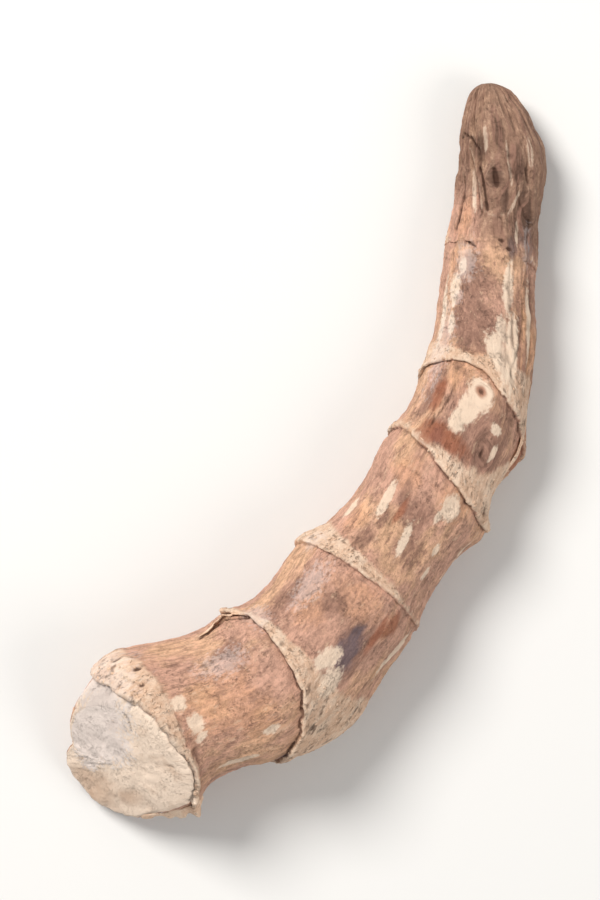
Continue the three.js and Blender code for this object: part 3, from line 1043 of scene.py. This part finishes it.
class Nodes:
    """Short calls that add nodes to a tree and join them up."""

    def __init__(self, tree):
        self.tree = tree

    def add(self, kind, sockets=(), **settings):
        node = self.tree.nodes.new(kind)
        for name, value in settings.items():
            setattr(node, name, value)
        for name, value in dict(sockets).items():
            self.put(node.inputs[name], value)
        return node

    def put(self, socket, value):
        if isinstance(value, bpy.types.NodeSocket):
            self.tree.links.new(value, socket)
        else:
            socket.default_value = value

    def math(self, operation, a, b=0.0):
        return self.add("ShaderNodeMath", {0: a, 1: b}, operation=operation).outputs[0]

    def times(self, a, b):
        return self.math("MULTIPLY", a, b)

    def plus(self, a, b):
        return self.math("ADD", a, b)

    def minus(self, a, b):
        return self.math("SUBTRACT", a, b)

    def larger(self, a, b):
        return self.math("MAXIMUM", a, b)

    def blend(self, factor, a, b):
        node = self.add("ShaderNodeMix", data_type="RGBA")
        for index, value in ((0, factor), (6, a), (7, b)):
            self.put(node.inputs[index], value)
        return node.outputs[2]

    def remap(self, value, low, high, to_low=0.0, to_high=1.0):
        sockets = {"Value": value, "From Min": low, "From Max": high, "To Min": to_low, "To Max": to_high}
        return self.add("ShaderNodeMapRange", sockets, interpolation_type="SMOOTHSTEP").outputs[0]

    def stretched(self, vector, scale, stretch=1.0):
        sockets = {0: vector, 1: (scale, scale, scale / stretch)}
        return self.add("ShaderNodeVectorMath", sockets, operation="MULTIPLY").outputs[0]

    def noise(self, vector, scale, stretch=1.0, detail=3.0, roughness=0.55, distortion=0.0):
        sockets = {
            "Vector": self.stretched(vector, scale, stretch), "Scale": 1.0, "Detail": detail,
            "Roughness": roughness, "Distortion": distortion,
        }
        return self.add("ShaderNodeTexNoise", sockets).outputs["Fac"]

    def field(self, name, output="Fac"):
        return self.add("ShaderNodeAttribute", attribute_name=name).outputs[output]


def new_group(name, inputs, outputs):
    """A shader node group; sockets are (name, kind) or (name, kind, default)."""
    tree = bpy.data.node_groups.new(name, "ShaderNodeTree")
    for in_out, sockets in (("INPUT", inputs), ("OUTPUT", outputs)):
        for label, kind, *default in sockets:
            socket = tree.interface.new_socket(label, in_out=in_out, socket_type="NodeSocket" + kind)
            if default:
                socket.default_value = default[0]
    nodes = Nodes(tree)
    return nodes, nodes.add("NodeGroupInput").outputs, nodes.add("NodeGroupOutput").inputs


def ragged_mask_group():
    """Turns a soft field into a mask with an edge torn along the fibres."""
    n, given, out = new_group(
        "Ragged mask",
        [("Field", "Float"), ("Place", "Vector"), ("Scale", "Float", 1.5), ("Stretch", "Float", 1.8),
         ("Tear", "Float", 0.3), ("Softness", "Float", 0.06)],
        [("Mask", "Float")],
    )
    along = n.math("DIVIDE", given["Scale"], given["Stretch"])
    scales = n.add("ShaderNodeCombineXYZ", {0: given["Scale"], 1: given["Scale"], 2: along}).outputs[0]
    scaled = n.add("ShaderNodeVectorMath", {0: given["Place"], 1: scales}, operation="MULTIPLY").outputs[0]
    torn = n.noise(scaled, 1.0, detail=5.0, roughness=0.68)
    shift = n.times(n.minus(torn, 0.5), given["Tear"])
    value = n.plus(given["Field"], shift)
    low = n.minus(0.5, given["Softness"])
    high = n.plus(0.5, given["Softness"])
    n.put(out["Mask"], n.remap(value, low, high))
    return n.tree


def fibre_group():
    """Fine fibres along the rhizome, as a value round 0.5 and as a height."""
    n, given, out = new_group(
        "Fibres", [("Place", "Vector"), ("Strength", "Float", 1.0)],
        [("Value", "Float"), ("Height", "Float")],
    )
    broad = n.noise(given["Place"], 1.2, stretch=2.2, detail=5.0, roughness=0.68, distortion=0.5)
    thin = n.noise(given["Place"], 3.0, stretch=3.2, detail=4.0, roughness=0.7, distortion=0.4)
    grain = n.noise(given["Place"], 4.2, stretch=1.3, detail=5.0, roughness=0.8)
    mixed = n.plus(n.times(broad, 0.36), n.times(thin, 0.3))
    mixed = n.plus(mixed, n.times(grain, 0.34))
    centred = n.times(n.minus(mixed, 0.5), given["Strength"])
    n.put(out["Value"], n.plus(centred, 0.5))
    height = n.plus(n.times(thin, 0.5), n.times(grain, 0.7))
    n.put(out["Height"], n.times(height, given["Strength"]))
    return n.tree


def cork_group():
    """Granular pale cork with dark pores and dirt."""
    n, given, out = new_group(
        "Cork",
        [("Place", "Vector"), ("Cork", "Color"), ("Cream", "Color"), ("Shadow", "Color")],
        [("Color", "Color"), ("Height", "Float")],
    )
    clouds = n.noise(given["Place"], 0.8, stretch=1.5, detail=5.0, roughness=0.66)
    grains = n.noise(given["Place"], 3.6, stretch=1.4, detail=5.0, roughness=0.75)
    base = n.blend(n.remap(clouds, 0.42, 0.66, 0.0, 0.6), given["Cork"], given["Cream"])
    base = n.blend(n.remap(grains, 0.52, 0.66, 0.0, 0.6), base, given["Cream"])
    spread = n.noise(given["Place"], 0.6, detail=3.0)
    dots = n.noise(given["Place"], 3.0, stretch=1.2, detail=4.0, roughness=0.75)
    pores = n.times(n.remap(dots, 0.53, 0.62), n.remap(spread, 0.44, 0.58))
    faint = n.remap(grains, 0.47, 0.3, 0.0, 0.5)
    dirt = n.larger(n.times(pores, 0.55), faint)
    n.put(out["Color"], n.blend(dirt, base, given["Shadow"]))
    n.put(out["Height"], n.minus(grains, n.times(pores, 0.8)))
    return n.tree


GROUP_MAKERS = {"Ragged mask": ragged_mask_group, "Fibres": fibre_group, "Cork": cork_group}


def use_group(n, name, sockets):
    tree = bpy.data.node_groups.get(name) or GROUP_MAKERS[name]()
    node = n.add("ShaderNodeGroup", node_tree=tree)
    for label, value in sockets.items():
        n.put(node.inputs[label], value)
    return node.outputs


def new_material(name, roughness):
    material = bpy.data.materials.new(name)
    material.use_nodes = True
    n = Nodes(material.node_tree)
    surface = material.node_tree.nodes["Principled BSDF"]
    surface.inputs["Roughness"].default_value = roughness
    surface.inputs["Specular IOR Level"].default_value = 0.28
    return material, n, surface


def solid(value):
    return (*value, 1.0)


def torn(n, place, name, scale, tear, softness, stretch=1.8):
    sockets = {"Place": place, "Scale": scale, "Stretch": stretch, "Tear": tear, "Softness": softness}
    return use_group(n, "Ragged mask", {"Field": n.field(name), **sockets})["Mask"]


def cork_layer(n, place, colours):
    tones = {name: solid(getattr(colours, name.lower())) for name in ("Cork", "Cream", "Shadow")}
    return use_group(n, "Cork", {"Place": place, **tones})


def bark_ground(n, place, colours):
    """The brown bark between the marks."""
    drift = n.noise(place, 0.22, stretch=1.6, detail=4.0, roughness=0.6)
    base = n.blend(n.remap(drift, 0.36, 0.54), solid(colours.tan), solid(colours.rose))
    patches = n.remap(n.noise(place, 1.9, stretch=3.0, detail=5.0, roughness=0.7), 0.36, 0.58, 0.6, 1.0)
    for name, strength in (("amber", 0.45), ("purple", 0.9)):
        mask = torn(n, place, name, 1.0, 1.0, 0.2, stretch=2.5)
        mask = n.times(n.times(mask, patches), strength)
        base = n.blend(mask, base, solid(getattr(colours, name)))
    return base


def mottled(n, place, fibres, base, colours):
    """Fine light and dark dashes along the fibres, with chips down to the cork."""
    shade = n.remap(fibres["Value"], 0.4, 0.6, 0.68, 1.22)
    base = n.add("ShaderNodeVectorMath", {0: base, "Scale": shade}, operation="SCALE").outputs[0]
    dashes = n.noise(place, 2.2, stretch=3.4, detail=4.0, roughness=0.66)
    base = n.blend(n.remap(dashes, 0.55, 0.66, 0.0, 0.7), base, solid(colours.purple))
    chips = n.noise(place, 1.6, stretch=2.6, detail=5.0, roughness=0.74)
    base = n.blend(n.remap(chips, 0.58, 0.68, 0.0, 0.7), base, solid(colours.cork))
    soot = n.noise(place, 3.1, stretch=2.4, detail=4.0, roughness=0.7)
    return n.blend(n.remap(soot, 0.37, 0.28, 0.0, 0.55), base, solid(colours.shadow))


def bark_material(colours):
    material, n, surface = new_material("Calamus bark", 0.82)
    place = n.field("straight", "Vector")
    fibres = use_group(n, "Fibres", {"Place": place, "Strength": 1.0})
    base = mottled(n, place, fibres, bark_ground(n, place, colours), colours)

    # The weathered tip.
    grey = torn(n, place, "weathered", 0.6, 1.1, 0.35)
    worn_tone = n.blend(
        n.remap(fibres["Value"], 0.49, 0.66, 0.0, 0.7), solid(colours.weathered), solid(colours.cork)
    )
    worn_tone = n.blend(n.remap(fibres["Value"], 0.5, 0.4, 0.0, 0.5), worn_tone, solid(colours.shadow))
    base = n.blend(n.times(grey, 0.8), base, worn_tone)
    ink = torn(n, place, "ink", 1.2, 0.8, 0.2, stretch=2.5)
    stain = n.blend(n.field("weathered"), solid(colours.ink), solid(colours.shadow))
    base = n.blend(n.times(ink, 0.7), base, stain)

    # Pale cork, cream flecks, cool patches of chalky bloom with painted sheen, and brown streaks.
    cork = cork_layer(n, place, colours)
    base = n.blend(n.times(torn(n, place, "cork", 1.5, 0.55, 0.1), 0.9), base, cork["Color"])
    fleck = torn(n, place, "fleck", 3.0, 0.85, 0.12, stretch=1.7)
    pale = n.blend(0.75, cork["Color"], solid(colours.cream))
    fleck = n.times(fleck, n.remap(n.field("weathered"), 0.2, 0.9, 0.9, 0.5))
    base = n.blend(fleck, base, pale)
    red = torn(n, place, "red", 1.4, 0.7, 0.2, stretch=2.2)
    base = n.blend(n.times(red, 0.75), base, solid(colours.red))
    rim = torn(n, place, "rim", 2.2, 1.0, 0.25)
    base = n.blend(n.times(rim, 0.4), base, solid(colours.cream))
    # The bloom patches are partly chalky bloom and partly painted sheen.
    bloom_and_sheen = torn(n, place, "bloom_and_sheen", 2.4, 2.0, 0.2, stretch=1.6)
    base = n.blend(n.times(bloom_and_sheen, 0.25), base, solid(colours.bloom_and_sheen))

    threads = n.noise(place, 1.5, stretch=9.0, detail=4.0, roughness=0.62, distortion=0.6)
    streak = n.times(n.remap(threads, 0.5, 0.41), n.field("streaked"))
    brown = n.blend(n.remap(threads, 0.4, 0.3, 0.0, 0.8), solid(colours.purple), solid(colours.shadow))
    base = n.blend(n.times(streak, 0.85), base, brown)

    # The knife-cut face.
    face = torn(n, place, "face", 2.0, 0.3, 0.15)
    base = n.blend(face, base, pith_colour(n, place, colours, bloom_and_sheen))

    # Painted shade in the creases, cracks, pits, folds and hollows and on the cut's rim, with real dark
    # grit on the cork, and paler cream on high places.
    wander = n.times(n.minus(n.noise(place, 1.4, detail=3.0), 0.5), 0.24)
    from_edge = n.math("ABSOLUTE", n.plus(n.plus(n.field("edge"), 0.08), wander))
    line = n.times(n.remap(from_edge, 0.13, 0.02), n.field("crack"))
    # dirt is painted shade in the cracks, seams, pits and fold valleys, with real dark grit on the cork.
    dirt = n.larger(line, torn(n, place, "crease", 3.0, 0.7, 0.35))
    base = n.blend(n.times(dirt, 0.8), base, solid(colours.shadow))
    # Painted shade where a place lies below its surroundings, and on the cut's rim.
    base = n.blend(n.remap(n.field("cavity"), 0.54, 0.95, 0.0, 0.6), base, solid(colours.shadow))
    # Paler cream where a place stands above its surroundings.
    base = n.blend(n.remap(n.field("cavity"), 0.44, 0.15, 0.0, 0.45), base, solid(colours.cream))
    n.put(surface.inputs["Base Color"], base)

    height = n.plus(n.times(fibres["Height"], 0.6), n.times(cork["Height"], 0.4))
    height = n.minus(height, n.times(line, 0.6))
    bump = n.add("ShaderNodeBump", {"Height": height, "Strength": 0.9, "Distance": 0.3 * MM})
    n.put(surface.inputs["Normal"], bump.outputs[0])
    n.put(surface.inputs["Roughness"], n.remap(fibres["Value"], 0.3, 0.7, 0.9, 0.68))
    return material


def pith_colour(n, place, colours, bloom_and_sheen):
    """Cream cut surface with faint stains and vessel ends."""
    clouds = n.noise(place, 0.45, stretch=1.4, detail=4.0, roughness=0.6)
    speck = n.noise(place, 3.0, stretch=2.0, detail=4.0, roughness=0.7)
    tone = n.blend(n.remap(clouds, 0.5, 0.75, 0.0, 0.45), solid(colours.pith), solid(colours.pith_stain))
    stain = torn(n, place, "amber", 0.8, 0.7, 0.4)
    tone = n.blend(n.times(stain, 0.55), tone, solid(colours.pith_stain))
    tone = n.blend(n.remap(speck, 0.42, 0.3, 0.0, 0.4), tone, solid(colours.pith_stain))
    tone = n.blend(n.remap(speck, 0.62, 0.75, 0.0, 0.5), tone, solid(colours.cream))
    # Cool patches over the cut, partly painted highlight and partly chalky bloom.
    return n.blend(n.times(bloom_and_sheen, 0.6), tone, solid(colours.bloom_and_sheen))


def scale_material(colours):
    """Loose scales of cork."""
    material, n, surface = new_material("Bark scale", 0.85)
    place = n.add("ShaderNodeTexCoord").outputs["Object"]
    place = n.stretched(place, 1 / MM)
    cork = cork_layer(n, place, colours)
    fibres = use_group(n, "Fibres", {"Place": place, "Strength": 0.7})
    tone = n.blend(n.remap(fibres["Value"], 0.5, 0.7, 0.0, 0.3), cork["Color"], solid(colours.tan))
    n.put(surface.inputs["Base Color"], tone)
    bump = n.add("ShaderNodeBump", {"Height": cork["Height"], "Strength": 0.5, "Distance": 0.08 * MM})
    n.put(surface.inputs["Normal"], bump.outputs[0])
    return material


# ---- Loose scales, scattered by geometry nodes ----


# Scales lie on cork at least this strong and this many mm above the table. They tilt this many
# radians either way, and their radii are shares of the largest one: along, across and thick.
SCALE_CORK = 0.55
SCALE_LOWEST = 0.6
SCALE_TILT = 0.12
SCALE_SMALLEST, SCALE_LARGEST = (0.3, 0.25, 0.09), (1.0, 0.7, 0.2)


def scale_tree():
    """Scatters small flat scales over the cork of a mesh."""
    tree = bpy.data.node_groups.new("Bark scales", "GeometryNodeTree")
    sockets = (
        ("Bark", "Geometry"), ("Density", "Float"), ("Radius", "Float"), ("Seed", "Int"),
        ("Material", "Material"),
    )
    for label, kind in sockets:
        tree.interface.new_socket(label, in_out="INPUT", socket_type="NodeSocket" + kind)
    tree.interface.new_socket("Scales", in_out="OUTPUT", socket_type="NodeSocketGeometry")
    n = Nodes(tree)
    given = n.add("NodeGroupInput").outputs

    cork = n.add("GeometryNodeInputNamedAttribute", {"Name": "cork"}, data_type="FLOAT").outputs[0]
    height = n.add("ShaderNodeSeparateXYZ", {0: n.add("GeometryNodeInputPosition").outputs[0]}).outputs["Z"]
    above = n.math("GREATER_THAN", height, SCALE_LOWEST * MM)
    wanted = n.math("GREATER_THAN", cork, SCALE_CORK)
    density = n.times(n.times(wanted, above), given["Density"])
    points = n.add(
        "GeometryNodeDistributePointsOnFaces",
        {"Mesh": given["Bark"], "Density": density, "Seed": given["Seed"]},
    )

    scale = n.add("GeometryNodeMeshIcoSphere", {"Radius": 1.0, "Subdivisions": 2}).outputs["Mesh"]
    where = n.add("GeometryNodeInputPosition").outputs[0]
    uneven = n.add("ShaderNodeTexNoise", {"Vector": where, "Scale": 1.1, "Detail": 2.0}).outputs["Color"]
    push = n.add("ShaderNodeVectorMath", {0: uneven, 1: (0.5, 0.5, 0.5)}, operation="SUBTRACT").outputs[0]
    push = n.add("ShaderNodeVectorMath", {0: push, "Scale": 1.7}, operation="SCALE").outputs[0]
    scale = n.add("GeometryNodeSetPosition", {"Geometry": scale, "Offset": push}).outputs[0]
    scale = n.add("GeometryNodeSetShadeSmooth", {0: scale}).outputs[0]

    turn = n.add("FunctionNodeRandomValue", {"Seed": 3}, data_type="FLOAT_VECTOR")
    turn.inputs["Min"].default_value = (-SCALE_TILT, -SCALE_TILT, 0.0)
    turn.inputs["Max"].default_value = (SCALE_TILT, SCALE_TILT, math.tau)
    tilt = n.add("FunctionNodeRotateRotation", {
        "Rotation": points.outputs["Rotation"], "Rotate By": turn.outputs[0],
    }, rotation_space="LOCAL")
    size = n.add("FunctionNodeRandomValue", {"Seed": 5}, data_type="FLOAT_VECTOR")
    size.inputs["Min"].default_value = SCALE_SMALLEST
    size.inputs["Max"].default_value = SCALE_LARGEST
    sized = n.add("ShaderNodeVectorMath", {0: size.outputs[0], "Scale": given["Radius"]}, operation="SCALE")
    placed = n.add("GeometryNodeInstanceOnPoints", {
        "Points": points.outputs["Points"], "Instance": scale,
        "Rotation": tilt.outputs[0], "Scale": sized.outputs[0],
    })
    real = n.add("GeometryNodeRealizeInstances", {"Geometry": placed.outputs[0]}).outputs[0]
    finished = n.add("GeometryNodeSetMaterial", {"Geometry": real, "Material": given["Material"]})
    n.put(n.add("NodeGroupOutput").inputs["Scales"], finished.outputs[0])
    return tree


def apply_tree(source, tree, values, name):
    """The plain mesh that a geometry nodes tree makes from a copy of an object."""
    carrier = bpy.data.objects.new(name + "_carrier", source.data)
    bpy.context.scene.collection.objects.link(carrier)
    modifier = carrier.modifiers.new("Tree", "NODES")
    modifier.node_group = tree
    for item in tree.interface.items_tree:
        if item.name in values:
            modifier[item.identifier] = values[item.name]
    evaluated = carrier.evaluated_get(bpy.context.evaluated_depsgraph_get())
    mesh = bpy.data.meshes.new_from_object(evaluated)
    mesh.name = name
    carrier.modifiers.clear()
    bpy.data.objects.remove(carrier)
    return mesh


# ---- Operators ----


class CALAMUS_OT_rhizome(bpy.types.Operator):
    """Build the rhizome with its bark and its cut face"""

    bl_idname = "calamus.rhizome"
    bl_label = "Rhizome"

    def execute(self, context):
        material = bark_material(context.scene.calamus_colours)
        piece = add_piece("calamus_rhizome", rhizome_mesh(context.scene.calamus_shape), material)
        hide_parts(CAD_NODE)
        return {"FINISHED"}


class CALAMUS_OT_strips(bpy.types.Operator):
    """Lay the lifted strips of bark on the rhizome"""

    bl_idname = "calamus.strips"
    bl_label = "Bark strips"

    def execute(self, context):
        material = scale_material(context.scene.calamus_colours)
        add_piece("bark_strips", strips_mesh(context.scene.calamus_shape), material)
        return {"FINISHED"}


class CALAMUS_OT_scales(bpy.types.Operator):
    """Scatter loose scales over the cork"""

    bl_idname = "calamus.scales"
    bl_label = "Bark scales"

    def execute(self, context):
        shape = context.scene.calamus_shape
        material = bpy.data.materials["Bark scale"]
        values = {
            "Density": shape.scale_density, "Radius": shape.scale_size, "Seed": shape.seed,
            "Material": material,
        }
        source = bpy.data.objects["calamus_rhizome"]
        mesh = apply_tree(source, scale_tree(), values, "bark_scales")
        if not mesh.vertices:
            raise RuntimeError("no bark scales were made")
        add_piece("bark_scales", mesh, material)
        return {"FINISHED"}


class CALAMUS_OT_stage(bpy.types.Operator):
    """Set the floor, the light and the camera"""

    bl_idname = "calamus.stage"
    bl_label = "Stage"

    def execute(self, context):
        stage = context.scene.calamus_stage
        low, high = (Vector(corner) for corner in CAD_BOX)
        size = high - low
        make_floor(stage, size)
        make_lights(stage, size)
        make_camera(stage, low, high)
        context.scene.view_settings.view_transform = "Standard"
        return {"FINISHED"}


# ---- The stage ----

# Places and sizes, in lengths of the piece. The fill light has a share of the key light's power.
FLOOR_SIZE = 40
KEY_PLACE, KEY_SIZE, KEY_TINT = (-3.4, 3.6, 5.2), 3.4, (1.0, 0.985, 0.96)
FILL_PLACE, FILL_SIZE, FILL_TINT = (4.5, -2.0, 4.0), 4.0, (1.0, 0.97, 0.93)
FILL_SHARE = 0.22
SKY_TINT = (0.94, 0.97, 1.0, 1.0)
# In millimetres: how far the floor lies below the piece, and the camera's lens and sensor.
FLOOR_DROP = 0.05
LENS, SENSOR = 120, 36


def make_floor(stage, size):
    bpy.ops.mesh.primitive_plane_add(size=FLOOR_SIZE * size.y, location=(0, 0, -FLOOR_DROP * MM))
    floor = bpy.context.object
    floor.name = "floor"
    material, _, surface = new_material("Floor", 0.9)
    surface.inputs["Base Color"].default_value = solid(stage.floor)
    floor.data.materials.append(material)


def add_light(name, place, size, power, tint):
    light = bpy.data.lights.new(name, "AREA")
    light.shape = "DISK"
    light.size = size
    light.energy = power
    light.color = tint
    lamp = bpy.data.objects.new(name, light)
    lamp.location = place
    lamp.rotation_euler = (-place).to_track_quat("-Z", "Y").to_euler()
    bpy.context.scene.collection.objects.link(lamp)


def make_lights(stage, size):
    reach = size.y
    add_light("key", reach * Vector(KEY_PLACE), KEY_SIZE * reach, stage.key_power, KEY_TINT)
    power = FILL_SHARE * stage.key_power
    add_light("fill", reach * Vector(FILL_PLACE), FILL_SIZE * reach, power, FILL_TINT)
    world = bpy.data.worlds.new("Sky")
    world.use_nodes = True
    background = world.node_tree.nodes["Background"]
    background.inputs["Color"].default_value = SKY_TINT
    background.inputs["Strength"].default_value = stage.sky
    bpy.context.scene.world = world


def make_camera(stage, low, high):
    """A long lens straight above, with the growing tip at the top of the picture."""
    camera = bpy.data.cameras.new("camera")
    camera.lens = LENS
    camera.sensor_fit = "VERTICAL"
    camera.sensor_height = SENSOR
    camera.clip_start = 0.01
    tall = (high.y - low.y) * (1 + 2 * stage.margin)
    distance = tall * LENS / SENSOR
    camera_object = bpy.data.objects.new("camera", camera)
    camera_object.location = ((low.x + high.x) / 2, (low.y + high.y) / 2, high.z + distance)
    bpy.context.scene.collection.objects.link(camera_object)
    bpy.context.scene.camera = camera_object


# ---- The panel and the add-on ----


class CALAMUS_PT_panel(bpy.types.Panel):
    """Lists the steps that build the rhizome"""

    bl_label = "Calamus Root"
    bl_space_type = "VIEW_3D"
    bl_region_type = "UI"
    bl_category = "Calamus"

    def draw(self, context):
        for settings in GROUPS:
            group = getattr(context.scene, settings)
            box = self.layout.box()
            for name in group.__annotations__:
                box.prop(group, name)
        for operator in OPERATORS:
            self.layout.operator(operator.bl_idname)


GROUPS = {
    "calamus_shape": CalamusShape,
    "calamus_colours": CalamusColours,
    "calamus_stage": CalamusStage,
}
OPERATORS = (CALAMUS_OT_rhizome, CALAMUS_OT_strips, CALAMUS_OT_scales, CALAMUS_OT_stage)


def register():
    for kind in (*GROUPS.values(), *OPERATORS, CALAMUS_PT_panel):
        bpy.utils.register_class(kind)
    for name, kind in GROUPS.items():
        setattr(bpy.types.Scene, name, bpy.props.PointerProperty(type=kind))


def unregister():
    for name in GROUPS:
        delattr(bpy.types.Scene, name)
    for kind in (CALAMUS_PT_panel, *reversed(OPERATORS), *GROUPS.values()):
        bpy.utils.unregister_class(kind)


def main():
    register()
    bpy.ops.calamus.rhizome()
    bpy.ops.calamus.strips()
    bpy.ops.calamus.scales()
    bpy.ops.calamus.stage()


if __name__ == "__main__":
    main()
